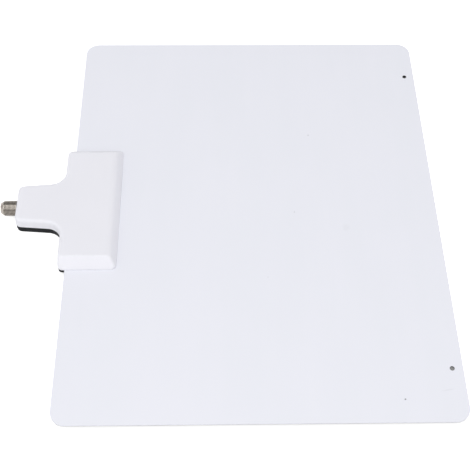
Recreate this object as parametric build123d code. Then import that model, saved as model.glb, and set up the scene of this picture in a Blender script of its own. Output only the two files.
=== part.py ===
"""Flat indoor television antenna: a laminated sheet whose left edge is clamped in a T-shaped, two-piece
housing with a threaded coaxial jack. Millimetres, white face up, jack along -X, lower shell on z = 0."""
import os
from math import floor

from build123d import *

# Laminated sheet: a white front film and a black rear film
SHEET_WIDTH = 228.6
SHEET_LENGTH = 292.1
SHEET_CORNER_RADIUS = 8.5
FRONT_FILM_THICKNESS = 0.6
REAR_FILM_THICKNESS = 0.2

# Hanging holes, measured from the sheet's edges
HANG_HOLE_DIAMETER = 2.8
HANG_HOLE_FROM_SIDE = 6.3
HANG_HOLE_FROM_END = 32.4

# Foil radiator: a bow tie of two halves, with slots in from the outer edge
FOIL_THICKNESS = 0.06
FOIL_BORDER = 14.0
FOIL_POCKET_MARGIN = 0.3
FEED_GAP = 5.0
FEED_LENGTH = 20.0
FLARE_OPENING = 120.0
SLOT_WIDTH = 4.0
SLOT_LENGTH = 45.0
SLOT_PITCH = 32.0

# Housing plan: a bar along the sheet's edge and a tapered stem that holds the jack
BAR_WIDTH = 35.2
BAR_LENGTH = 92.2
BAR_OVERHANG = 4.4
BAR_CORNER_RADIUS = 3.5
STEM_LENGTH = 28.6
STEM_END_WIDTH = 27.4
STEM_ROOT_WIDTH = 32.2
STEM_CORNER_RADIUS = 4.0
STEM_ROOT_RADIUS = 9.0

# Housing section: an upright rim, then ends and a right side that lean in to the flat crown
UPPER_RIM_HEIGHT = 1.0
LOWER_RIM_HEIGHT = 2.4
BEVEL_ENDS = 5.7
BEVEL_RIGHT = 3.6
MOULD_DRAFT_ANGLE = 3.0
EDGE_ROUND = 2.0
RIGHT_ROUND = 4.5
BASE_CHAMFER = 0.5
LEAST_INNER_RADIUS = 0.5
SHELL_WALL = 1.4
SHELL_ROOF = 1.2
END_WALL = 2.0

# Posts of the upper shell in sockets of the lower shell, through the sheet
POST_DIAMETER = 2.6
POST_SHOULDER = 1.0
SOCKET_WALL = 1.2
SOCKET_FIT = 0.05
POST_TIP_GAP = 0.4
SHEET_FIT = 0.3
BAR_POST_FROM_SHEET_EDGE = 7.0
BAR_POST_FROM_END = 10.0

# Tongues of the upper shell that line up the stem's walls
TONGUE_FROM_END = 6.0
TONGUE_LENGTH = 9.0
TONGUE_THICKNESS = 1.4
TONGUE_DEPTH = 2.6
TONGUE_FIT = 0.1

# Circuit board, edge-mounted on the jack's axis
BOARD_THICKNESS = 1.6
BOARD_FROM_SHEET_EDGE = 1.5
BOARD_TO_RIGHT_WALL = 5.9
BOARD_TO_TONGUES = 3.0
BOARD_TO_BAR_POSTS = 9.8
RIB_THICKNESS = 1.2
RIB_LENGTH = 9.0
HOLD_RIB_FROM_BOARD_END = 7.0
SUPPORT_RIB_FROM_SHEET_EDGE = 4.0
SUPPORT_RIB_TO_PRONGS = 0.3

# Feed rivets from the board to the foil
RIVET_SPACING = 17.0
RIVET_FROM_FOIL_EDGE = 5.0
RIVET_SHANK_DIAMETER = 3.0
RIVET_HEAD_DIAMETER = 5.4
RIVET_HEAD_THICKNESS = 0.5
RIVET_SIDES = 12
RIVET_FIT = 0.05

# Threaded coaxial jack, 3/8 inch over the thread
JACK_DIAMETER = 9.525
JACK_REACH = 9.75
JACK_COVER = 1.24
NOSE_TAPER_LENGTH = 2.2
NOSE_TAPER_DEPTH = 1.3
NECK_DEPTH = 0.7
NECK_FIT = 0.1
COLLAR_DEPTH = 0.3
COLLAR_LENGTH = 2.6
PRONG_LENGTH = 5.0
PRONG_WIDTH = 1.6
PRONG_THICKNESS = 1.2
PRONG_FROM_COLLAR_EDGE = 0.4
PRONG_FIT = 0.05
BARREL_WALL = 1.16
INSULATOR_RECESS = 0.5
INSULATOR_FIT = 0.03
MOUTH_DIAMETER = 1.8
MOUTH_LENGTH = 1.2
MOUTH_FLARE = 0.5
CONTACT_DIAMETER = 2.2
CONTACT_BORE_DIAMETER = 1.2
CONTACT_BORE_DEPTH = 6.0
CONTACT_FIT = 0.05
TAIL_DIAMETER = 0.8
TAIL_LENGTH = 4.0
TAIL_FIT = 0.1

# Balun: a twin-hole ferrite core and two wire hairpins
CORE_LENGTH = 6.0
CORE_WIDTH = 7.0
CORE_TO_ROOF = 0.6
CORE_HOLE_DIAMETER = 1.8
CORE_HOLE_SPACING = 3.4
CORE_FROM_SHEET_EDGE = 13.0
WIRE_DIAMETER = 0.4
WIRE_SPLIT = 0.6
WIRE_SIDES = 8
INNER_LOOP_REACH = 0.8
OUTER_LOOP_REACH = 1.8

# Matching capacitors
CHIP_LENGTH = 2.0
CHIP_WIDTH = 1.25
CHIP_HEIGHT = 0.8
CHIP_SPACING = 6.0
CHIP_FROM_SHEET_EDGE = 4.0

# How far a cut reaches past the faces it opens
CUT_MARGIN = 1.0

# Heights: the housing is as thick as the jack needs, and the board lies on the sheet
sheet_thickness = FRONT_FILM_THICKNESS + REAR_FILM_THICKNESS
jack_radius = JACK_DIAMETER / 2
neck_radius = jack_radius - NECK_DEPTH
collar_radius = jack_radius - COLLAR_DEPTH
insulator_radius = neck_radius - BARREL_WALL - INSULATOR_FIT
jack_axis_z = jack_radius + JACK_COVER
housing_top_z = 2 * jack_axis_z
parting_z = jack_axis_z - BOARD_THICKNESS / 2
film_seam_z = parting_z - FRONT_FILM_THICKNESS
sheet_bottom_z = parting_z - sheet_thickness
board_top_z = parting_z + BOARD_THICKNESS
roof_z = housing_top_z - SHELL_ROOF
root_depth = SHELL_ROOF / 2

# Lengths: the origin is the middle of the whole length, jack included
overall_width = JACK_REACH + STEM_LENGTH + BAR_OVERHANG + SHEET_WIDTH
jack_tip_x = -overall_width / 2
stem_end_x = jack_tip_x + JACK_REACH
bar_left_x = stem_end_x + STEM_LENGTH
bar_right_x = bar_left_x + BAR_WIDTH
sheet_left_x = bar_left_x + BAR_OVERHANG
sheet_right_x = sheet_left_x + SHEET_WIDTH
sheet_center_x = (sheet_left_x + sheet_right_x) / 2
collar_x = stem_end_x + END_WALL + NECK_FIT
board_left_x = collar_x + COLLAR_LENGTH
board_arm_left_x = sheet_left_x + BOARD_FROM_SHEET_EDGE
board_arm_right_x = bar_right_x - SHELL_WALL - BOARD_TO_RIGHT_WALL
insulator_front_x = jack_tip_x + INSULATOR_RECESS
contact_front_x = insulator_front_x + MOUTH_LENGTH
core_center_x = sheet_left_x + CORE_FROM_SHEET_EDGE
core_height = roof_z - board_top_z - CORE_TO_ROOF
core_hole_z = board_top_z + core_height / 2

# Places of the repeated features
hang_hole_y = SHEET_LENGTH / 2 - HANG_HOLE_FROM_END
bar_post_y = BAR_LENGTH / 2 - BAR_POST_FROM_END
shoulder_radius = POST_DIAMETER / 2 + POST_SHOULDER
tongue_left_x = stem_end_x + TONGUE_FROM_END
tongue_right_x = tongue_left_x + TONGUE_LENGTH
tongue_outset = SHELL_WALL + TONGUE_FIT
tongue_inset = tongue_outset + TONGUE_THICKNESS
board_stem_y = STEM_END_WIDTH / 2 - tongue_inset - BOARD_TO_TONGUES
board_arm_y = bar_post_y - shoulder_radius - BOARD_TO_BAR_POSTS
rivet_x = sheet_left_x + FOIL_BORDER + RIVET_FROM_FOIL_EDGE
prong_center_y = collar_radius - PRONG_FROM_COLLAR_EDGE - PRONG_WIDTH / 2
hang_holes = [(sheet_right_x - HANG_HOLE_FROM_SIDE, side * hang_hole_y) for side in (-1, 1)]
rivet_spots = [(rivet_x, side * RIVET_SPACING / 2) for side in (-1, 1)]
bar_posts = [(sheet_left_x + BAR_POST_FROM_SHEET_EDGE, side * bar_post_y) for side in (-1, 1)]


def upright(x, y, radius, z_low, z_high):
    """Round bar along Z."""
    bar = Cylinder(radius, z_high - z_low, align=(Align.CENTER, Align.CENTER, Align.MIN))
    return Pos(x, y, z_low) * bar


def along_axis(radius, x_low, x_high):
    """Round bar along the jack's axis."""
    bar = Cylinder(radius, x_high - x_low, align=(Align.CENTER, Align.CENTER, Align.MIN))
    return Pos(x_low, 0, jack_axis_z) * Rot(0, 90, 0) * bar


def block(x_low, x_high, y_low, y_high, z_low, z_high):
    """Box between two corners."""
    corner = (Align.MIN, Align.MIN, Align.MIN)
    return Pos(x_low, y_low, z_low) * Box(x_high - x_low, y_high - y_low, z_high - z_low, align=corner)


def stem_side(x, inset):
    """Point on the stem's tapered side at x, set in by a wall."""
    taper = (STEM_ROOT_WIDTH - STEM_END_WIDTH) / 2 / STEM_LENGTH
    return x, STEM_END_WIDTH / 2 + taper * (x - stem_end_x) - inset


def housing_plan(inset):
    """T-shaped outline of the housing, set in by a wall."""
    end_x = stem_end_x + (END_WALL if inset else 0)
    left_x = bar_left_x + inset
    bar_y = BAR_LENGTH / 2 - inset
    rear = [stem_side(end_x, inset), stem_side(left_x, inset)]
    rear += [(left_x, bar_y), (bar_right_x - inset, bar_y)]
    front = [(x, -y) for x, y in rear]
    stem_corner = max(STEM_CORNER_RADIUS - inset, LEAST_INNER_RADIUS)
    bar_corner = max(BAR_CORNER_RADIUS - inset, LEAST_INNER_RADIUS)
    radii = [stem_corner, STEM_ROOT_RADIUS + inset, bar_corner, bar_corner]
    return make_face(FilletPolyline(*front, *reversed(rear), radius=radii + radii[::-1], close=True))


def housing_half(inset, draft, shoulder_z, crown_z):
    """Bulk of one half: plan, front view and end view drawn through, kept where all three meet."""
    plan = extrude(Pos(0, 0, parting_z) * housing_plan(inset), crown_z - parting_z, taper=draft)
    left_x = stem_end_x - CUT_MARGIN
    right_x = bar_right_x - inset
    front_view = [(left_x, parting_z), (right_x, parting_z), (right_x, shoulder_z)]
    front_view += [(right_x - BEVEL_RIGHT, crown_z), (left_x, crown_z)]
    end_y = BAR_LENGTH / 2 - inset
    end_view = [(end_y, parting_z), (end_y, shoulder_z), (end_y - BEVEL_ENDS, crown_z)]
    end_view += [(-y, z) for y, z in reversed(end_view)]
    front_view = extrude(Plane.XZ * make_face(Polyline(*front_view, close=True)), BAR_LENGTH, both=True)
    end_view = extrude(Plane.YZ * make_face(Polyline(*end_view, close=True)), overall_width, both=True)
    return plan & front_view & end_view


def jack_opening(z_low, z_high):
    """Cut in a shell's end wall that closes round the jack's neck, straight-sided at the parting plane."""
    radius = neck_radius + NECK_FIT
    reach = (stem_end_x - CUT_MARGIN, stem_end_x + END_WALL + CUT_MARGIN)
    slot = block(*reach, -radius, radius, min(parting_z, jack_axis_z), max(parting_z, jack_axis_z))
    return (along_axis(radius, *reach) + slot) & block(*reach, -radius, radius, z_low, z_high)


def stem_tongue():
    """Tongue on the upper shell's stem wall that drops inside the lower shell's wall."""
    reach = (tongue_left_x, tongue_right_x)
    inner_face = [stem_side(x, tongue_inset) for x in reach]
    root_face = [stem_side(x, root_depth) for x in reversed(reach)]
    tip_face = [stem_side(x, tongue_outset) for x in reversed(reach)]
    root = make_face(Polyline(*inner_face, *root_face, close=True))
    tip = make_face(Polyline(*inner_face, *tip_face, close=True))
    tongue = extrude(Pos(0, 0, parting_z) * root, roof_z - parting_z)
    return tongue + extrude(Pos(0, 0, parting_z) * tip, -TONGUE_DEPTH)


def upper_shell():
    """White half: crown and leaning sides, with posts, tongues, and ribs that hold the board down."""
    shoulder_z = parting_z + UPPER_RIM_HEIGHT
    shell = housing_half(0, MOULD_DRAFT_ANGLE, shoulder_z, housing_top_z)
    crown = shell.faces().sort_by(Axis.Z)[-1]
    shell = fillet(crown.edges().sort_by(Axis.X)[-1], RIGHT_ROUND)
    flats = shell.faces().filter_by(GeomType.PLANE).sort_by(lambda face: face.normal_at().Z)
    crown_and_bevels = flats[-4:]
    right_round = shell.faces().filter_by(GeomType.CYLINDER).sort_by(Axis.Z)[-1]
    shell = fillet(crown_and_bevels.edges() - right_round.edges().filter_by(Axis.Y), EDGE_ROUND)
    cavity = housing_half(SHELL_WALL, 0, shoulder_z, roof_z)
    shell -= cavity
    shell -= jack_opening(parting_z, housing_top_z)
    for x, y in bar_posts:
        shell += upright(x, y, shoulder_radius, parting_z, roof_z + root_depth)
        shell += upright(x, y, POST_DIAMETER / 2, SHELL_ROOF + POST_TIP_GAP, roof_z)
    rib_x = (board_arm_left_x + board_arm_right_x - RIB_LENGTH) / 2
    rib_y = board_arm_y - HOLD_RIB_FROM_BOARD_END
    rib = block(rib_x, rib_x + RIB_LENGTH, rib_y, rib_y + RIB_THICKNESS, board_top_z, roof_z + root_depth)
    for rear_side in (rib, stem_tongue()):
        shell += rear_side
        shell += mirror(rear_side, Plane.XZ)
    return shell


def lower_shell():
    """Black half: mirrored bulk with a seat for the sheet, sockets, and ribs under the board."""
    shoulder_z = parting_z - LOWER_RIM_HEIGHT
    shell = housing_half(0, MOULD_DRAFT_ANGLE, shoulder_z, 0)
    shell = chamfer(shell.faces().sort_by(Axis.Z)[0].edges(), BASE_CHAMFER)
    shell -= housing_half(SHELL_WALL, 0, shoulder_z, SHELL_ROOF)
    seat_x = (sheet_left_x - SHEET_FIT, bar_right_x + CUT_MARGIN)
    shell -= block(*seat_x, -BAR_LENGTH, BAR_LENGTH, sheet_bottom_z, parting_z)
    shell -= jack_opening(0, parting_z)
    bore = POST_DIAMETER / 2 + SOCKET_FIT
    for x, y in bar_posts:
        shell += upright(x, y, bore + SOCKET_WALL, root_depth, sheet_bottom_z)
        shell -= upright(x, y, bore, SHELL_ROOF, sheet_bottom_z)
    rib_x = sheet_left_x - SUPPORT_RIB_FROM_SHEET_EDGE
    for x in (board_left_x + PRONG_LENGTH + SUPPORT_RIB_TO_PRONGS, rib_x):
        shell += block(x, x + RIB_THICKNESS, -RIB_LENGTH / 2, RIB_LENGTH / 2, root_depth, parting_z)
    return shell


def sheet_face(z):
    """Outline of the sheet with every hole that goes through it."""
    outline = RectangleRounded(SHEET_WIDTH, SHEET_LENGTH, SHEET_CORNER_RADIUS)
    face = Pos(sheet_center_x, 0, z) * outline
    holes = [(spot, HANG_HOLE_DIAMETER / 2) for spot in hang_holes]
    holes += [(spot, POST_DIAMETER / 2 + SHEET_FIT) for spot in bar_posts]
    holes += [(spot, RIVET_SHANK_DIAMETER / 2 + RIVET_FIT) for spot in rivet_spots]
    for (x, y), radius in holes:
        face -= Pos(x, y, z) * Circle(radius)
    return face


def foil_face(side, margin):
    """One half of the bow tie: a feed strip by the gap, an inner edge that flares out, and the slots."""
    left_x = sheet_left_x + FOIL_BORDER - margin
    right_x = sheet_right_x - FOIL_BORDER + margin
    gap_y = FEED_GAP / 2 - margin
    outer_y = SHEET_LENGTH / 2 - FOIL_BORDER + margin
    inner_edge = [(left_x, gap_y), (left_x + FEED_LENGTH, gap_y), (right_x, FLARE_OPENING / 2 - margin)]
    face = make_face(Polyline(*inner_edge, (right_x, outer_y), (left_x, outer_y), close=True))
    slot_count = floor((right_x - left_x - SLOT_WIDTH) / SLOT_PITCH)
    slot_width = SLOT_WIDTH - 2 * margin
    first_x = (left_x + right_x) / 2 - (slot_count - 1) * SLOT_PITCH / 2
    for index in range(slot_count):
        slot = Rectangle(slot_width, SLOT_LENGTH - margin, align=(Align.CENTER, Align.MAX))
        face -= Pos(first_x + index * SLOT_PITCH, outer_y) * slot
    return face if side > 0 else mirror(face, Plane.XZ)


def foil_element(side):
    """Foil half, laid in the front film's underside, with the rivet's hole."""
    foil = extrude(Pos(0, 0, film_seam_z) * foil_face(side, 0), FOIL_THICKNESS)
    for x, y in rivet_spots:
        foil -= upright(x, y, RIVET_SHANK_DIAMETER / 2 + RIVET_FIT, sheet_bottom_z, parting_z)
    return foil


def front_film():
    """White film, with a shallow pocket for the foil in its underside."""
    film = extrude(sheet_face(film_seam_z), FRONT_FILM_THICKNESS)
    for side in (-1, 1):
        film -= extrude(Pos(0, 0, film_seam_z) * foil_face(side, FOIL_POCKET_MARGIN), FOIL_THICKNESS)
    return film


def rear_film():
    """Black film that backs the whole sheet."""
    return extrude(sheet_face(sheet_bottom_z), REAR_FILM_THICKNESS)


def circuit_board():
    """T-shaped board with rivet holes and a notch in its edge for the contact's tail."""
    half = [(board_left_x, -board_stem_y), (board_arm_left_x, -board_stem_y)]
    half += [(board_arm_left_x, -board_arm_y), (board_arm_right_x, -board_arm_y)]
    other_half = [(x, -y) for x, y in reversed(half)]
    face = make_face(Polyline(*half, *other_half, close=True))
    board = extrude(Pos(0, 0, parting_z) * face, BOARD_THICKNESS)
    for x, y in rivet_spots:
        board -= upright(x, y, RIVET_SHANK_DIAMETER / 2 + RIVET_FIT, parting_z, board_top_z)
    notch_y = TAIL_DIAMETER / 2 + TAIL_FIT
    notch_right_x = board_left_x + TAIL_LENGTH + TAIL_FIT
    return board - block(board_left_x, notch_right_x, -notch_y, notch_y, parting_z, board_top_z)


def feed_rivet(x, y):
    """Rivet with one head on the board and one under the sheet."""
    shank = RegularPolygon(RIVET_SHANK_DIAMETER / 2, RIVET_SIDES)
    head = RegularPolygon(RIVET_HEAD_DIAMETER / 2, RIVET_SIDES)
    rivet = extrude(Pos(x, y, sheet_bottom_z) * shank, board_top_z - sheet_bottom_z)
    rivet += extrude(Pos(x, y, board_top_z) * head, RIVET_HEAD_THICKNESS)
    return rivet + extrude(Pos(x, y, sheet_bottom_z) * head, -RIVET_HEAD_THICKNESS)


def jack_barrel():
    """Turned barrel: tapered nose, thread, a neck that the shells close on, and prongs astride the board."""
    shoulder_x = stem_end_x - NECK_FIT
    half_section = [(jack_tip_x, 0), (jack_tip_x, jack_radius - NOSE_TAPER_DEPTH)]
    half_section += [(jack_tip_x + NOSE_TAPER_LENGTH, jack_radius), (shoulder_x, jack_radius)]
    half_section += [(shoulder_x, neck_radius), (collar_x, neck_radius)]
    half_section += [(collar_x, collar_radius), (board_left_x, collar_radius), (board_left_x, 0)]
    on_axis = Plane((0, 0, jack_axis_z), x_dir=(1, 0, 0), z_dir=(0, -1, 0))
    barrel = revolve(on_axis * make_face(Polyline(*half_section, close=True)), Axis(on_axis.origin, (1, 0, 0)))
    for side in (-1, 1):
        y = side * prong_center_y
        prong_y = (y - PRONG_WIDTH / 2, y + PRONG_WIDTH / 2)
        prong_x = (board_left_x - COLLAR_LENGTH / 2, board_left_x + PRONG_LENGTH)
        top_z = board_top_z + PRONG_FIT
        barrel += block(*prong_x, *prong_y, top_z, top_z + PRONG_THICKNESS)
        low_z = parting_z - PRONG_FIT
        barrel += block(*prong_x, *prong_y, low_z - PRONG_THICKNESS, low_z)
    return barrel - along_axis(insulator_radius + INSULATOR_FIT, jack_tip_x, board_left_x)


def jack_insulator():
    """Plastic bush in the barrel, with a funnel mouth and, behind its lip, a chamber for the contact."""
    bush = along_axis(insulator_radius, insulator_front_x, board_left_x)
    bush -= along_axis(CONTACT_DIAMETER / 2 + CONTACT_FIT, contact_front_x, board_left_x)
    lip_radius = MOUTH_DIAMETER / 2
    base = (Align.CENTER, Align.CENTER, Align.MIN)
    funnel = Cone(lip_radius + MOUTH_FLARE, lip_radius, MOUTH_LENGTH, align=base)
    return bush - Pos(insulator_front_x, 0, jack_axis_z) * Rot(0, 90, 0) * funnel


def jack_contact():
    """Contact tube with a blind bore for the cable's centre wire, and a tail in the board's notch."""
    tube = along_axis(CONTACT_DIAMETER / 2, contact_front_x, board_left_x)
    tube -= along_axis(CONTACT_BORE_DIAMETER / 2, contact_front_x, contact_front_x + CONTACT_BORE_DEPTH)
    return tube + along_axis(TAIL_DIAMETER / 2, board_left_x, board_left_x + TAIL_LENGTH)


def balun_core():
    """Ferrite block with rounded sides and two holes along X."""
    section = SlotOverall(CORE_WIDTH, core_height)
    for side in (-1, 1):
        section -= Pos(side * CORE_HOLE_SPACING / 2, 0) * Circle(CORE_HOLE_DIAMETER / 2)
    end = Plane((core_center_x - CORE_LENGTH / 2, 0, core_hole_z), x_dir=(0, 1, 0), z_dir=(1, 0, 0))
    return extrude(end * section, CORE_LENGTH)


def balun_winding(ends_side, level):
    """Hairpin of wire through both holes of the core, with its ends down on the board."""
    ends_x = core_center_x + ends_side * (CORE_LENGTH / 2 + OUTER_LOOP_REACH)
    loop_x = core_center_x - ends_side * (CORE_LENGTH / 2 + INNER_LOOP_REACH)
    y = CORE_HOLE_SPACING / 2
    z = core_hole_z + level * WIRE_SPLIT / 2
    points = [(ends_x, y, board_top_z), (ends_x, y, z), (loop_x, y, z)]
    points += [(px, -py, pz) for px, py, pz in reversed(points)]
    section = Plane(points[0], z_dir=(0, 0, 1)) * RegularPolygon(WIRE_DIAMETER / 2, WIRE_SIDES)
    return sweep(section, path=Polyline(*points), transition=Transition.RIGHT)


def chip_capacitor(y):
    """Chip soldered flat on the board."""
    x = sheet_left_x + CHIP_FROM_SHEET_EDGE
    half = CHIP_WIDTH / 2
    return block(x, x + CHIP_LENGTH, y - half, y + half, board_top_z, board_top_z + CHIP_HEIGHT)


def main():
    nodes = {
        "front_film": front_film(),
        "rear_film": rear_film(),
        "foil_element_front": foil_element(-1),
        "foil_element_rear": foil_element(1),
        "upper_shell": upper_shell(),
        "lower_shell": lower_shell(),
        "circuit_board": circuit_board(),
        "feed_rivets": Compound([feed_rivet(x, y).solid() for x, y in rivet_spots]),
        "jack_barrel": jack_barrel(),
        "jack_insulator": jack_insulator(),
        "jack_contact": jack_contact(),
        "balun_core": balun_core(),
        "balun_line_winding": balun_winding(-1, -1),
        "balun_feed_winding": balun_winding(1, 1),
        "chip_capacitors": Compound([chip_capacitor(s * CHIP_SPACING / 2).solid() for s in (-1, 1)]),
    }
    os.makedirs("parts", exist_ok=True)
    for name, shape in nodes.items():
        export_step(shape, f"parts/{name}.step")


main()
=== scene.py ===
import math

import bpy
from mathutils import Matrix, Vector


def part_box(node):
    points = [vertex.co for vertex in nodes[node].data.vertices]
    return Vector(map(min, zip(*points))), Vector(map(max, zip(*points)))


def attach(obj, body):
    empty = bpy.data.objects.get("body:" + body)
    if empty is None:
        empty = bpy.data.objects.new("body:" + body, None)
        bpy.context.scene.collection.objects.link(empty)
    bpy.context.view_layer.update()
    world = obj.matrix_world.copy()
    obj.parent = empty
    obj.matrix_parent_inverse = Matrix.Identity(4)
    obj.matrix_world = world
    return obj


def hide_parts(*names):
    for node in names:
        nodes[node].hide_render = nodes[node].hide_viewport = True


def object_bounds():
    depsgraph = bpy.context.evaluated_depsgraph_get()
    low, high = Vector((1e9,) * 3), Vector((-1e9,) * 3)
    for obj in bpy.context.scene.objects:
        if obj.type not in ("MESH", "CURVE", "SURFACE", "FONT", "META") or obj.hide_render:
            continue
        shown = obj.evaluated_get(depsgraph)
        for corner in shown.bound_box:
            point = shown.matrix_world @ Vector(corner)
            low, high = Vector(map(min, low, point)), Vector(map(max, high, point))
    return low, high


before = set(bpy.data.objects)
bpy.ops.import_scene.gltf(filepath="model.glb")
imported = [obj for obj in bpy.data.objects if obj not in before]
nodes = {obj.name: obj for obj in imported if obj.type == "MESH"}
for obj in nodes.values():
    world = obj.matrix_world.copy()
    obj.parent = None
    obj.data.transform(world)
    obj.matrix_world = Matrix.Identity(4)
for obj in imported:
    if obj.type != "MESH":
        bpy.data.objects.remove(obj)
cad_low, cad_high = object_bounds()

MM = 0.001
INCH_IN_MM = 25.4
WHITE = (1.0, 1.0, 1.0, 1.0)

# Jack's 3/8-32 thread: depth, flat root and flat crest as shares of the pitch, and how finely it is cut
THREADS_PER_INCH = 32
THREAD_PITCH = INCH_IN_MM / THREADS_PER_INCH * MM
THREAD_DEPTH = 0.40 * THREAD_PITCH
THREAD_CREST = 0.36
THREAD_ROOT = 0.18
ROWS_PER_PITCH = 14
BARREL_SIDES = 96
MOUTH_ROUND = 0.15 * MM
SHARP_ANGLE = math.radians(28)

# Jack's barrel: sizes and fits of the solid that it replaces
NOSE_TAPER_LENGTH = 2.2 * MM
NOSE_TAPER_DEPTH = 1.3 * MM
NECK_DEPTH = 0.7 * MM
COLLAR_DEPTH = 0.3 * MM
COLLAR_LENGTH = 2.6 * MM
SHOULDER_FIT = 0.1 * MM
INSULATOR_FIT = 0.03 * MM
PRONG_WIDTH = 1.6 * MM
PRONG_THICKNESS = 1.2 * MM
PRONG_FROM_COLLAR_EDGE = 0.4 * MM
PRONG_FIT = 0.05 * MM

# Sides of a block, by its corners in order of x, then y, then z
BLOCK_SIDES = ((0, 1, 3, 2), (4, 6, 7, 5), (0, 4, 5, 1), (2, 3, 7, 6), (0, 2, 6, 4), (1, 5, 7, 3))

# Colour sockets of Blender's Mix node
MIX_FIRST = 6
MIX_SECOND = 7
MIX_RESULT = 2

# Parts of the noise's range that the finishes spread over their tones
WIDE_TONES = (0.3, 0.7)
MIDDLE_TONES = (0.35, 0.65)
UPPER_TONES = (0.35, 0.7)
CROSSED_TONES = (0.15, 0.35)

# Moulded plastic: widths of the clouds in its colour and gloss
PLASTIC_CLOUD = 38 * MM
PLASTIC_GLOSS = 9 * MM
PLASTIC_IOR = 1.5
BEVEL_SAMPLES = 6

# Film: widths of its clouds, streaks and handling marks, and its grain and waves with their heights
FILM_CLOUD = 60 * MM
FILM_STREAK = 14 * MM
STREAK_STRETCH = (1.0, 0.12, 1.0)
FILM_HANDLING = 22 * MM
FILM_GRAIN = 0.35 * MM
FILM_GRAIN_DEPTH = 0.006 * MM
FILM_WAVE = 45 * MM
FILM_WAVE_DEPTH = 0.12 * MM
FILM_IOR = 1.46

# Painted shade on the walls of the holes punched in the sheet: upright faces well inside its outline are
# coloured near black
HOLE_WALL_PAINTED_SHADE = (0.03, 0.03, 0.032)
HOLE_MARGIN = 3.0 * MM
UPRIGHT_LIMIT = 0.5

# Dirt on the sheet: place from its middle and half width each way, in millimetres,
# turn in degrees, and strength, which fades between two shares of the half width
SPOT_FADE = (0.5, 1.2)
DIRT_COLOUR = (0.06, 0.055, 0.05)
DIRT = (
    ((79.5, -132.3), (0.52, 0.45), 0.0, 0.85),
    ((25.3, -3.5), (0.34, 0.30), 0.0, 0.6),
    ((37.6, 60.1), (0.40, 0.36), 0.0, 0.6),
    ((7.0, -51.8), (0.28, 0.24), 0.0, 0.4),
    ((56.5, -15.6), (2.4, 2.8), 0.0, 0.035),
    ((103.8, -126.9), (3.9, 0.45), 10.3, 0.055),
)

# Drawn metal: width of its clouds, and its lines along X
METAL_CLOUD = 3 * MM
DRAWN_GRAIN = 0.8 * MM
DRAWN_STRETCH = (0.08, 1.0, 1.0)
DRAWN_DEPTH = 0.004 * MM

# Nickel: two tones on its crests and nose, the painted shade in the thread's roots, roughness of roots and
# crests, and turning marks
NICKEL_CREST_TONES = ((0.57, 0.525, 0.475), (0.50, 0.46, 0.415))
NICKEL_ROOT_PAINTED_SHADE = (0.16, 0.142, 0.122)
NICKEL_ROUGHNESS = (0.42, 0.11)
STAIN_GRAIN = 1.6 * MM
TURNING_GRAIN = 0.12 * MM
TURNING_STRETCH = (1.0, 0.1, 0.1)
TURNING_DEPTH = 0.001 * MM

# Circuit board: the glass cloth's weave, and the mask that partly covers it
WEAVE_PITCH = 0.5 * MM
WEAVE_COLOURS = ((0.012, 0.105, 0.045), (0.016, 0.135, 0.058))
WEAVE_DEPTH = 0.008 * MM
MASK_COLOUR = (0.02, 0.16, 0.075)
MASK_CLOUD = 6 * MM
MASK_COVER = 0.5
MASK_ROUGHNESS = (0.22, 0.38)

# Camera at the photograph's angle, over a square picture
SENSOR_WIDTH = 36.0
LENS = 74.017
VIEW_AZIMUTH = math.radians(-1.897)
VIEW_ELEVATION = math.radians(54.391)
VIEW_ROLL = math.radians(-1.198)
VIEW_DISTANCE = 592.667 * MM
VIEW_FROM_SHEET = Vector((-12.143, -20.906, 0.0)) * MM
CLIP_START = 0.02
CLIP_END = 50.0

# Floor just clear of the part's base, with the light that lifts it to white for the camera and in mirrors
FLOOR_HALF = 4.0
FLOOR_DROP = 0.05 * MM
FLOOR_COLOUR = (0.93, 0.93, 0.93)
FLOOR_LIFT = 0.55
MIRROR_LIFT = 0.04

# Floor under the sheet, which shows through the hanging holes: painted shade, darker from a little way in,
# with a painted pool of light as a lighter spot behind the front hole, in the dirt's terms
UNDER_SHEET_PAINTED_SHADE = (0.3, 0.3, 0.3)
UNDER_FADE = (-4.5 * MM, -2.5 * MM)
PAINTED_LIGHT_SPOT = (((109.3, -111.15), (4.0, 4.0), 0.0, 0.3),)

# Strength of the walls and the ceiling, and the heights of the sky between which one fades to the other
SKY_LOW = 1.15
SKY_HIGH = 0.518
SKY_FADE = (0.05, 0.4)

# Lamps: name, azimuth from the front to the right, elevation, width and height in metres, and power
LAMP_DISTANCE = 2.0
LAMPS = (
    ("key", math.radians(2), math.radians(69), (1.3, 3.0), 24.8),
    ("side", math.radians(-75), math.radians(45), (1.6, 1.6), 4.4),
)


def bare_tree(owner):
    """The emptied node tree of a material or a world."""
    owner.use_nodes = True
    owner.node_tree.nodes.clear()
    return owner.node_tree


def new_material(name):
    """An empty node material with its shader and the object's coordinates in metres."""
    material = bpy.data.materials.new(name)
    tree = bare_tree(material)
    output = tree.nodes.new("ShaderNodeOutputMaterial")
    shader = tree.nodes.new("ShaderNodeBsdfPrincipled")
    tree.links.new(shader.outputs["BSDF"], output.inputs["Surface"])
    place = tree.nodes.new("ShaderNodeTexCoord")
    return material, tree, shader, place.outputs["Object"]


def split(tree, vector):
    """A vector's X, Y and Z."""
    node = tree.nodes.new("ShaderNodeSeparateXYZ")
    tree.links.new(vector, node.inputs["Vector"])
    return node.outputs


def noise(tree, place, grain, detail=2.0, stretch=(1.0, 1.0, 1.0)):
    """Noise with spots about as wide as grain, in metres."""
    mapping = tree.nodes.new("ShaderNodeMapping")
    mapping.inputs["Scale"].default_value = stretch
    tree.links.new(place, mapping.inputs["Vector"])
    texture = tree.nodes.new("ShaderNodeTexNoise")
    texture.inputs["Scale"].default_value = 1.0 / grain
    texture.inputs["Detail"].default_value = detail
    tree.links.new(mapping.outputs["Vector"], texture.inputs["Vector"])
    return texture.outputs["Fac"]


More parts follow.
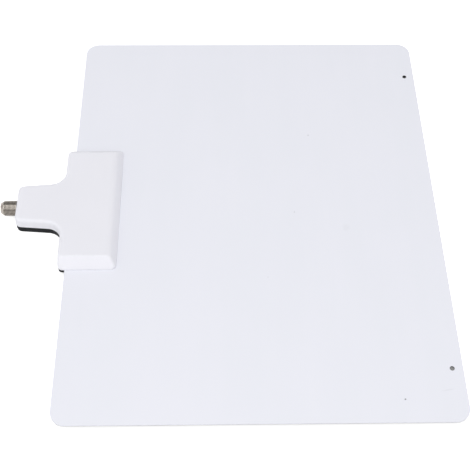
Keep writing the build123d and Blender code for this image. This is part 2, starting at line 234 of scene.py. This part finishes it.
def math_node(tree, operation, *values):
    """The outcome of one sum, each value a number or an output."""
    node = tree.nodes.new("ShaderNodeMath")
    node.operation = operation
    for value, socket in zip(values, node.inputs):
        if isinstance(value, float):
            socket.default_value = value
        else:
            tree.links.new(value, socket)
    return node.outputs["Value"]


def ramp(tree, value, low, high, to_low, to_high):
    """The value's range from low to high, spread over another range."""
    node = tree.nodes.new("ShaderNodeMapRange")
    node.inputs["From Min"].default_value = low
    node.inputs["From Max"].default_value = high
    node.inputs["To Min"].default_value = to_low
    node.inputs["To Max"].default_value = to_high
    tree.links.new(value, node.inputs["Value"])
    return node.outputs["Result"]


def blend(tree, factor, first, second):
    """A colour between two, each a colour or an output."""
    node = tree.nodes.new("ShaderNodeMix")
    node.data_type = "RGBA"
    tree.links.new(factor, node.inputs["Factor"])
    for colour, socket in ((first, node.inputs[MIX_FIRST]), (second, node.inputs[MIX_SECOND])):
        if isinstance(colour, tuple):
            socket.default_value = (*colour, 1.0)
        else:
            tree.links.new(colour, socket)
    return node.outputs[MIX_RESULT]


def mottled(tree, place, grain, detail, tones, colours):
    """A colour that drifts between two, in clouds about as wide as grain."""
    cloud = noise(tree, place, grain, detail)
    return blend(tree, ramp(tree, cloud, *tones, 0.0, 1.0), *colours)


def bump(tree, height, depth, normal=None):
    """A normal that follows the height, where a full step is depth metres high."""
    node = tree.nodes.new("ShaderNodeBump")
    node.inputs["Distance"].default_value = depth
    tree.links.new(height, node.inputs["Height"])
    if normal is not None:
        tree.links.new(normal, node.inputs["Normal"])
    return node.outputs["Normal"]


def sheet_middle():
    """Middle of the sheet's upper face."""
    low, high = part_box("front_film")
    return (low.x + high.x) / 2, (low.y + high.y) / 2, high.z


def outside_sheet(tree, place):
    """How far a place lies outside the sheet's outline, in metres and below zero within it."""
    low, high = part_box("front_film")
    parts = split(tree, place)
    past = []
    for axis, start, end in (("X", low.x, high.x), ("Y", low.y, high.y)):
        from_middle = math_node(tree, "SUBTRACT", parts[axis], (start + end) / 2)
        away = math_node(tree, "ABSOLUTE", from_middle)
        past.append(math_node(tree, "SUBTRACT", away, (end - start) / 2))
    return math_node(tree, "MAXIMUM", *past)


def punched_wall(tree, place):
    """One on the walls of the holes punched in the sheet, and zero elsewhere."""
    geometry = tree.nodes.new("ShaderNodeNewGeometry")
    tilt = math_node(tree, "ABSOLUTE", split(tree, geometry.outputs["True Normal"])["Z"])
    upright = math_node(tree, "LESS_THAN", tilt, UPRIGHT_LIMIT)
    within = math_node(tree, "LESS_THAN", outside_sheet(tree, place), -HOLE_MARGIN)
    return math_node(tree, "MULTIPLY", upright, within)


def spots(tree, place, table):
    """Strength of a table's spots at each place on or under the sheet."""
    middle_x, middle_y, top_z = sheet_middle()
    strongest = 0.0
    for (x, y), (half_x, half_y), turn, strength in table:
        mark = tree.nodes.new("ShaderNodeMapping")
        mark.vector_type = "TEXTURE"
        mark.inputs["Location"].default_value = (middle_x + x * MM, middle_y + y * MM, top_z)
        mark.inputs["Rotation"].default_value = (0.0, 0.0, math.radians(turn))
        mark.inputs["Scale"].default_value = (half_x * MM, half_y * MM, 1.0)
        tree.links.new(place, mark.inputs["Vector"])
        away = tree.nodes.new("ShaderNodeVectorMath")
        away.operation = "LENGTH"
        tree.links.new(mark.outputs["Vector"], away.inputs[0])
        spot = ramp(tree, away.outputs["Value"], *SPOT_FADE, strength, 0.0)
        strongest = math_node(tree, "MAXIMUM", spot, strongest)
    return strongest


def moulded_plastic(name, colours, grain, depth, roughness, edge_round=0.0, sheen=0.5, metallic=0.0):
    """Plastic with the tool's fine texture, cloudy gloss and soft corners."""
    material, tree, shader, place = new_material(name)
    colour = mottled(tree, place, PLASTIC_CLOUD, detail=3.0, tones=MIDDLE_TONES, colours=colours)
    tree.links.new(colour, shader.inputs["Base Color"])
    gloss = noise(tree, place, PLASTIC_GLOSS, detail=4.0)
    tree.links.new(ramp(tree, gloss, *WIDE_TONES, *roughness), shader.inputs["Roughness"])
    corner = None
    if edge_round:
        soft = tree.nodes.new("ShaderNodeBevel")
        soft.samples = BEVEL_SAMPLES
        soft.inputs["Radius"].default_value = edge_round
        corner = soft.outputs["Normal"]
    texture = noise(tree, place, grain, detail=3.0)
    tree.links.new(bump(tree, texture, depth, corner), shader.inputs["Normal"])
    shader.inputs["IOR"].default_value = PLASTIC_IOR
    shader.inputs["Specular IOR Level"].default_value = sheen
    shader.inputs["Metallic"].default_value = metallic
    return material


def film(name, colours, roughness, dirt_and_hole_shade=False):
    """Calendered film: a very fine matt grain and streaks along its length; where it is handled, dirt spots
    and painted shade on the walls of its punched holes.
    """
    material, tree, shader, place = new_material(name)
    cloud = noise(tree, place, FILM_CLOUD, detail=3.0)
    streaks = noise(tree, place, FILM_STREAK, stretch=STREAK_STRETCH)
    crossed = math_node(tree, "MULTIPLY", cloud, streaks)
    face = blend(tree, ramp(tree, crossed, *CROSSED_TONES, 0.0, 1.0), *colours)
    if dirt_and_hole_shade:
        # Painted shade: the walls of the punched holes are coloured near black, and the dirt spots darken the
        # face
        face = blend(tree, punched_wall(tree, place), face, HOLE_WALL_PAINTED_SHADE)
        face = blend(tree, spots(tree, place, DIRT), face, DIRT_COLOUR)
    tree.links.new(face, shader.inputs["Base Color"])
    handling = noise(tree, place, FILM_HANDLING, detail=6.0)
    tree.links.new(ramp(tree, handling, *WIDE_TONES, *roughness), shader.inputs["Roughness"])
    wavy = bump(tree, noise(tree, place, FILM_WAVE, detail=1.0), FILM_WAVE_DEPTH)
    fine = bump(tree, noise(tree, place, FILM_GRAIN), FILM_GRAIN_DEPTH, wavy)
    tree.links.new(fine, shader.inputs["Normal"])
    shader.inputs["IOR"].default_value = FILM_IOR
    return material


def metal(name, colours, roughness):
    """Plated or rolled metal with drawn lines along X and a cloudy polish."""
    material, tree, shader, place = new_material(name)
    colour = mottled(tree, place, METAL_CLOUD, detail=3.0, tones=UPPER_TONES, colours=colours)
    tree.links.new(colour, shader.inputs["Base Color"])
    shader.inputs["Metallic"].default_value = 1.0
    lines = noise(tree, place, DRAWN_GRAIN, detail=3.0, stretch=DRAWN_STRETCH)
    tree.links.new(ramp(tree, lines, *WIDE_TONES, *roughness), shader.inputs["Roughness"])
    tree.links.new(bump(tree, lines, DRAWN_DEPTH), shader.inputs["Normal"])
    return material


def nickel(axis_z, crest, tip):
    """Nickel plate: bright and glossy on the nose and the thread's crests, rougher down in its roots, where
    its colour darkens to a brownish painted shade.
    """
    material, tree, shader, place = new_material("nickel")
    parts = split(tree, place)
    above = math_node(tree, "SUBTRACT", parts["Z"], axis_z)
    square = math_node(tree, "MULTIPLY", above, above)
    square = math_node(tree, "MULTIPLY_ADD", parts["Y"], parts["Y"], square)
    radius = math_node(tree, "SQRT", square)
    nose = crest - NOSE_TAPER_DEPTH
    outline = ramp(tree, parts["X"], tip, tip + NOSE_TAPER_LENGTH, nose, crest)
    sunk = math_node(tree, "SUBTRACT", outline, radius)
    out = ramp(tree, sunk, 0.0, THREAD_DEPTH, 1.0, 0.0)
    crest_tone = mottled(tree, place, STAIN_GRAIN, detail=4.0, tones=UPPER_TONES, colours=NICKEL_CREST_TONES)
    # Painted shade: the colour darkens to a brownish shade down in the thread's roots
    tree.links.new(blend(tree, out, NICKEL_ROOT_PAINTED_SHADE, crest_tone), shader.inputs["Base Color"])
    shader.inputs["Metallic"].default_value = 1.0
    tree.links.new(ramp(tree, out, 0.0, 1.0, *NICKEL_ROUGHNESS), shader.inputs["Roughness"])
    turning = noise(tree, place, TURNING_GRAIN, stretch=TURNING_STRETCH)
    tree.links.new(bump(tree, turning, TURNING_DEPTH), shader.inputs["Normal"])
    return material


def laminate_board(name):
    """Solder mask over glass cloth, whose weave shows through as a faint check."""
    material, tree, shader, place = new_material(name)
    weave = tree.nodes.new("ShaderNodeTexChecker")
    weave.inputs["Scale"].default_value = 1.0 / WEAVE_PITCH
    for socket, colour in zip(("Color1", "Color2"), WEAVE_COLOURS):
        weave.inputs[socket].default_value = (*colour, 1.0)
    tree.links.new(place, weave.inputs["Vector"])
    cloud = noise(tree, place, MASK_CLOUD)
    cover = ramp(tree, cloud, *WIDE_TONES, 0.0, MASK_COVER)
    colour = blend(tree, cover, weave.outputs["Color"], MASK_COLOUR)
    tree.links.new(colour, shader.inputs["Base Color"])
    tree.links.new(ramp(tree, cloud, *WIDE_TONES, *MASK_ROUGHNESS), shader.inputs["Roughness"])
    tree.links.new(bump(tree, weave.outputs["Fac"], WEAVE_DEPTH), shader.inputs["Normal"])
    return material


def finishes():
    """Gives every solid but the barrel its finish."""
    white_shell = moulded_plastic(
        "white_shell",
        colours=((0.802, 0.80, 0.852), (0.787, 0.787, 0.838)),
        grain=0.28 * MM,
        depth=0.012 * MM,
        roughness=(0.40, 0.50),
        edge_round=0.25 * MM,
    )
    black_shell = moulded_plastic(
        "black_shell",
        colours=((0.007, 0.008, 0.010), (0.010, 0.011, 0.013)),
        grain=0.28 * MM,
        depth=0.02 * MM,
        roughness=(0.42, 0.56),
        edge_round=0.25 * MM,
        sheen=0.12,
    )
    white_film = film(
        "white_film",
        colours=((0.797, 0.804, 0.867), (0.788, 0.798, 0.859)),
        roughness=(0.42, 0.54),
        dirt_and_hole_shade=True,
    )
    black_film = film(
        "black_film",
        colours=((0.014, 0.014, 0.016), (0.02, 0.02, 0.022)),
        roughness=(0.34, 0.48),
    )
    bush = moulded_plastic(
        "insulator",
        colours=((0.82, 0.80, 0.74), (0.78, 0.76, 0.70)),
        grain=0.2 * MM,
        depth=0.006 * MM,
        roughness=(0.3, 0.42),
    )
    ferrite = moulded_plastic(
        "ferrite",
        colours=((0.03, 0.029, 0.028), (0.05, 0.048, 0.046)),
        grain=0.12 * MM,
        depth=0.02 * MM,
        roughness=(0.45, 0.62),
    )
    ceramic = moulded_plastic(
        "chip",
        colours=((0.36, 0.26, 0.17), (0.42, 0.31, 0.2)),
        grain=0.1 * MM,
        depth=0.004 * MM,
        roughness=(0.4, 0.5),
    )
    wire = moulded_plastic(
        "enamelled_wire",
        colours=((0.36, 0.085, 0.03), (0.43, 0.12, 0.045)),
        grain=0.3 * MM,
        depth=0.004 * MM,
        roughness=(0.16, 0.26),
        metallic=0.7,
    )
    contact = metal(
        "contact_metal",
        colours=((0.72, 0.56, 0.26), (0.62, 0.47, 0.21)),
        roughness=(0.2, 0.34),
    )
    foil = metal(
        "foil",
        colours=((0.78, 0.78, 0.79), (0.70, 0.70, 0.71)),
        roughness=(0.22, 0.36),
    )
    board = laminate_board("board")
    by_node = {
        "front_film": white_film,
        "rear_film": black_film,
        "foil_element_front": foil,
        "foil_element_rear": foil,
        "upper_shell": white_shell,
        "lower_shell": black_shell,
        "circuit_board": board,
        "feed_rivets": contact,
        "jack_insulator": bush,
        "jack_contact": contact,
        "balun_core": ferrite,
        "balun_line_winding": wire,
        "balun_feed_winding": wire,
        "chip_capacitors": ceramic,
    }
    for name, material in by_node.items():
        nodes[name].material_slots[0].material = material


def add_mesh(name, points, faces):
    """A mesh object, linked to the scene."""
    mesh = bpy.data.meshes.new(name)
    mesh.from_pydata(points, [], faces)
    piece = bpy.data.objects.new(name, mesh)
    bpy.context.scene.collection.objects.link(piece)
    return piece


def thread_height(turn):
    """Share of the thread's depth at a place along one turn: root, flank, crest, flank."""
    flank = (1.0 - THREAD_CREST - THREAD_ROOT) / 2
    along = turn % 1.0
    if along < THREAD_ROOT:
        return 0.0
    along -= THREAD_ROOT
    if along < flank:
        return along / flank
    along -= flank
    if along < THREAD_CREST:
        return 1.0
    return 1.0 - (along - THREAD_CREST) / flank


def add_block(low, high, points, faces):
    """Adds the corners and sides of a block."""
    start = len(points)
    for x in (low[0], high[0]):
        for y in (low[1], high[1]):
            for z in (low[2], high[2]):
                points.append((x, y, z))
    for side in BLOCK_SIDES:
        faces.append([start + corner for corner in side])


def threaded_barrel():
    """Barrel of the jack with its cut thread, in the place of the plain solid."""
    low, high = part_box("jack_barrel")
    bush_low, bush_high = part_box("jack_insulator")
    board_low, board_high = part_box("circuit_board")
    axis_z = (bush_low.z + bush_high.z) / 2
    crest = max(high.y - low.y, high.z - low.z) / 2
    bore = max(bush_high.y - bush_low.y, bush_high.z - bush_low.z) / 2 + INSULATOR_FIT
    nose = crest - NOSE_TAPER_DEPTH
    neck = crest - NECK_DEPTH
    rim = crest - COLLAR_DEPTH
    tip = low.x
    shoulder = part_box("upper_shell")[0].x - SHOULDER_FIT
    back = bush_high.x
    collar = back - COLLAR_LENGTH

    # Rings from the bore out over the mouth and back to the collar, with no radius along the thread
    rings = [(back, bore), (tip + MOUTH_ROUND, bore), (tip, bore + MOUTH_ROUND)]
    count = round((shoulder - tip) / THREAD_PITCH * ROWS_PER_PITCH)
    rings += [(tip + (shoulder - tip) * step / count, None) for step in range(count + 1)]
    rings += [(shoulder, neck), (collar, neck), (collar, rim), (back, rim)]

    points = []
    for x, radius in rings:
        for side in range(BARREL_SIDES):
            turn = side / BARREL_SIDES
            size = radius
            if radius is None:
                height = thread_height((x - tip) / THREAD_PITCH - turn)
                taper = nose + (x - tip) * NOSE_TAPER_DEPTH / NOSE_TAPER_LENGTH
                size = min(crest - THREAD_DEPTH * (1.0 - height), taper)
            angle = 2 * math.pi * turn
            points.append((x, size * math.cos(angle), axis_z + size * math.sin(angle)))
    faces = []
    for ring in range(len(rings)):
        here = ring * BARREL_SIDES
        after = (ring + 1) % len(rings) * BARREL_SIDES
        for side in range(BARREL_SIDES):
            beside = (side + 1) % BARREL_SIDES
            faces.append([here + side, here + beside, after + beside, after + side])

    prong_y = rim - PRONG_FROM_COLLAR_EDGE - PRONG_WIDTH / 2
    above = board_high.z + PRONG_FIT
    below = board_low.z - PRONG_FIT
    for y in (-prong_y, prong_y):
        for base in (above, below - PRONG_THICKNESS):
            start = (back - COLLAR_LENGTH / 2, y - PRONG_WIDTH / 2, base)
            end = (high.x, y + PRONG_WIDTH / 2, base + PRONG_THICKNESS)
            add_block(start, end, points, faces)

    piece = add_mesh("jack_barrel_threaded", points, faces)
    piece.data.validate()
    piece.data.shade_smooth()
    piece.data.set_sharp_from_angle(angle=SHARP_ANGLE)
    piece.data.materials.append(nickel(axis_z, crest, tip))
    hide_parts("jack_barrel")
    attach(piece, "root")


def paper_floor():
    """Pale floor that keeps the part's shadow, lifted towards white where the camera or a mirror sees it."""
    level = cad_low.z - FLOOR_DROP
    corners = ((-1, -1), (1, -1), (1, 1), (-1, 1))
    points = [(x * FLOOR_HALF, y * FLOOR_HALF, level) for x, y in corners]
    floor = add_mesh("floor", points, [(0, 1, 2, 3)])
    paper = bpy.data.materials.new("floor")
    floor.data.materials.append(paper)
    tree = bare_tree(paper)

    # Zero on the painted shade under the sheet, one elsewhere and from below, and raised in the painted light
    # spot
    place = tree.nodes.new("ShaderNodeTexCoord").outputs["Object"]
    open_floor = ramp(tree, outside_sheet(tree, place), *UNDER_FADE, 0.0, 1.0)
    from_below = tree.nodes.new("ShaderNodeNewGeometry").outputs["Backfacing"]
    for lighter in (from_below, spots(tree, place, PAINTED_LIGHT_SPOT)):
        open_floor = math_node(tree, "MAXIMUM", open_floor, lighter)

    diffuse = tree.nodes.new("ShaderNodeBsdfDiffuse")
    # Painted shade: the floor's colour and its lift drop under the sheet, apart from the painted light spot
    tone = blend(tree, open_floor, UNDER_SHEET_PAINTED_SHADE, FLOOR_COLOUR)
    tree.links.new(tone, diffuse.inputs["Color"])
    path = tree.nodes.new("ShaderNodeLightPath").outputs
    mirrored = math_node(tree, "MAXIMUM", path["Is Glossy Ray"], path["Is Transmission Ray"])
    direct = math_node(tree, "MULTIPLY", path["Is Camera Ray"], FLOOR_LIFT)
    seen = math_node(tree, "MULTIPLY_ADD", mirrored, MIRROR_LIFT, direct)
    lift = tree.nodes.new("ShaderNodeEmission")
    lift.inputs["Color"].default_value = WHITE
    tree.links.new(math_node(tree, "MULTIPLY", seen, open_floor), lift.inputs["Strength"])
    both = tree.nodes.new("ShaderNodeAddShader")
    tree.links.new(diffuse.outputs["BSDF"], both.inputs[0])
    tree.links.new(lift.outputs["Emission"], both.inputs[1])
    output = tree.nodes.new("ShaderNodeOutputMaterial")
    tree.links.new(both.outputs["Shader"], output.inputs["Surface"])


def sky():
    """Pale walls under a dimmer ceiling."""
    world = bpy.data.worlds.new("studio")
    bpy.context.scene.world = world
    tree = bare_tree(world)
    place = tree.nodes.new("ShaderNodeTexCoord")
    height = split(tree, place.outputs["Generated"])["Z"]
    light = tree.nodes.new("ShaderNodeBackground")
    light.inputs["Color"].default_value = WHITE
    tree.links.new(ramp(tree, height, *SKY_FADE, SKY_LOW, SKY_HIGH), light.inputs["Strength"])
    output = tree.nodes.new("ShaderNodeOutputWorld")
    tree.links.new(light.outputs["Background"], output.inputs["Surface"])


def outward(azimuth, elevation):
    """Direction from the part to a place round it, by azimuth from the front to the right and elevation."""
    level = math.cos(elevation)
    return Vector((math.sin(azimuth) * level, -math.cos(azimuth) * level, math.sin(elevation)))


def soft_lamp(name, azimuth, elevation, size, power):
    """A broad lamp that faces the middle of the part."""
    lamp = bpy.data.lights.new(name, "AREA")
    lamp.shape = "RECTANGLE"
    lamp.size, lamp.size_y = size
    lamp.energy = power
    body = bpy.data.objects.new(name, lamp)
    bpy.context.scene.collection.objects.link(body)
    toward = outward(azimuth, elevation)
    body.location = toward * LAMP_DISTANCE
    body.rotation_mode = "QUATERNION"
    body.rotation_quaternion = toward.to_track_quat("Z", "Y")


def camera():
    """The camera where the photograph was taken from."""
    forward = -outward(VIEW_AZIMUTH, VIEW_ELEVATION)
    side = Vector((math.cos(VIEW_AZIMUTH), math.sin(VIEW_AZIMUTH), 0.0))
    down = forward.cross(side)
    right = math.cos(VIEW_ROLL) * side + math.sin(VIEW_ROLL) * down
    up = math.sin(VIEW_ROLL) * side - math.cos(VIEW_ROLL) * down
    target = Vector(sheet_middle()) + VIEW_FROM_SHEET
    place = target - forward * VIEW_DISTANCE
    data = bpy.data.cameras.new("camera")
    data.sensor_width = SENSOR_WIDTH
    data.lens = LENS
    data.clip_start = CLIP_START
    data.clip_end = CLIP_END
    body = bpy.data.objects.new("camera", data)
    bpy.context.scene.collection.objects.link(body)
    turn = Matrix((right, up, -forward)).transposed()
    body.matrix_world = Matrix.Translation(place) @ turn.to_4x4()
    bpy.context.scene.camera = body


finishes()
threaded_barrel()
paper_floor()
sky()
for lamp_values in LAMPS:
    soft_lamp(*lamp_values)
camera()
bpy.context.scene.view_settings.view_transform = "Standard"
